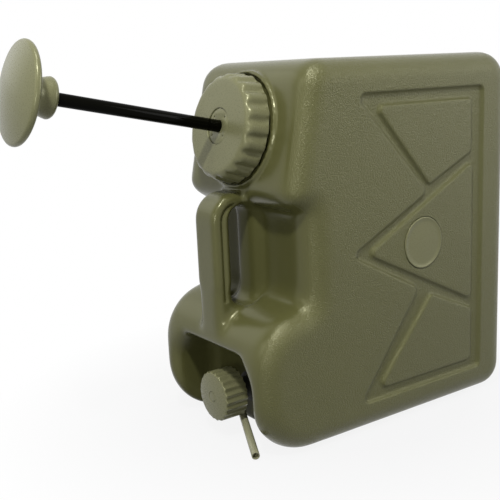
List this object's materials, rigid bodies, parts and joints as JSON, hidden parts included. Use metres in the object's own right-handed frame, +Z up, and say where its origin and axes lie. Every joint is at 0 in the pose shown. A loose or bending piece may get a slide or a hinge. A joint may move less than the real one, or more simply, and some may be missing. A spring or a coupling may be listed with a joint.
{
  "type": "water filter jerrycan",
  "caption": "Upright plastic jerrycan with a hand pump through its screw cap, a front grip, and a tap in a recess fed by a filter cartridge inside.",
  "frame": {"origin": "centre of the can's base, on the surface it stands on", "axes": "+Z up, -Y towards the pump and tap, +X towards the side with the badge"},
  "size_m": [0.206, 0.5569, 0.4277],
  "materials": {
    "can": "moulded olive polyethylene, satin with a fine grain",
    "fittings": "moulded pale olive plastic, satin",
    "rod": "gloss black",
    "black_plastic": "black moulded plastic",
    "barrel": "natural plastic, smooth",
    "cartridge": "white moulded plastic",
    "foam": "open-cell foam",
    "seals": "black rubber",
    "tube": "soft tube with an olive tint",
    "steel": "stainless, turned",
    "brass": "turned"
  },
  "bodies": {
    "can": {"can_body": "can", "side_badge": "fittings", "tap_body": "black_plastic", "tap_wall_gasket": "seals", "tap_lock_nut": "black_plastic", "tap_bonnet": "black_plastic", "spindle_o_ring": "seals", "spout_tube": "tube", "filter_collar": "cartridge", "filter_o_ring": "seals", "filter_cage": "cartridge", "prefilter_sleeve": "foam", "filter_core": "cartridge", "filter_end_cap": "cartridge"},
    "cap_seal": {"cap_gasket": "seals"},
    "cap": {"main_cap": "fittings", "rod_gland": "fittings", "rod_wiper_seal": "seals", "pump_barrel": "barrel", "barrel_foot": "black_plastic", "valve_flap": "seals"},
    "piston": {"pump_piston": "black_plastic", "piston_seal": "seals"},
    "plunger": {"pump_rod": "rod", "piston_nut": "steel", "pump_handle": "fittings"},
    "knob": {"tap_knob": "fittings", "knob_insert": "fittings"},
    "spindle": {"tap_spindle": "brass", "tap_washer": "seals"}
  },
  "joints": [
    {"name": "cap_lift", "type": "slide", "parent": "can", "child": "cap_seal", "axis": [0, -0.9781, 0.2079], "range_m": [0, 0.235]},
    {"name": "cap_turn", "type": "hinge", "parent": "cap_seal", "child": "cap", "pos_m": [0, -0.1258, 0.3304], "axis": [0, -0.9781, 0.2079], "range_deg": [0, 630]},
    {"name": "pump_slide", "type": "slide", "parent": "cap", "child": "piston", "axis": [0, -0.9781, 0.2079], "range_m": [-0.176, 0]},
    {"name": "pump_turn", "type": "hinge", "parent": "piston", "child": "plunger", "pos_m": [0, -0.1258, 0.3304], "axis": [0, -0.9781, 0.2079], "continuous": true},
    {"name": "tap_turn", "type": "hinge", "parent": "can", "child": "knob", "pos_m": [0, -0.1245, 0.046], "axis": [0, -1, 0], "range_deg": [0, 360]},
    {"name": "tap_spindle_slide", "type": "slide", "parent": "can", "child": "spindle", "axis": [0, -1, 0], "range_m": [0, 0.004]}
  ],
  "couplings": [
    {"joint": "tap_spindle_slide", "follows": "tap_turn", "m_per_rad": 0.00063662}
  ]
}
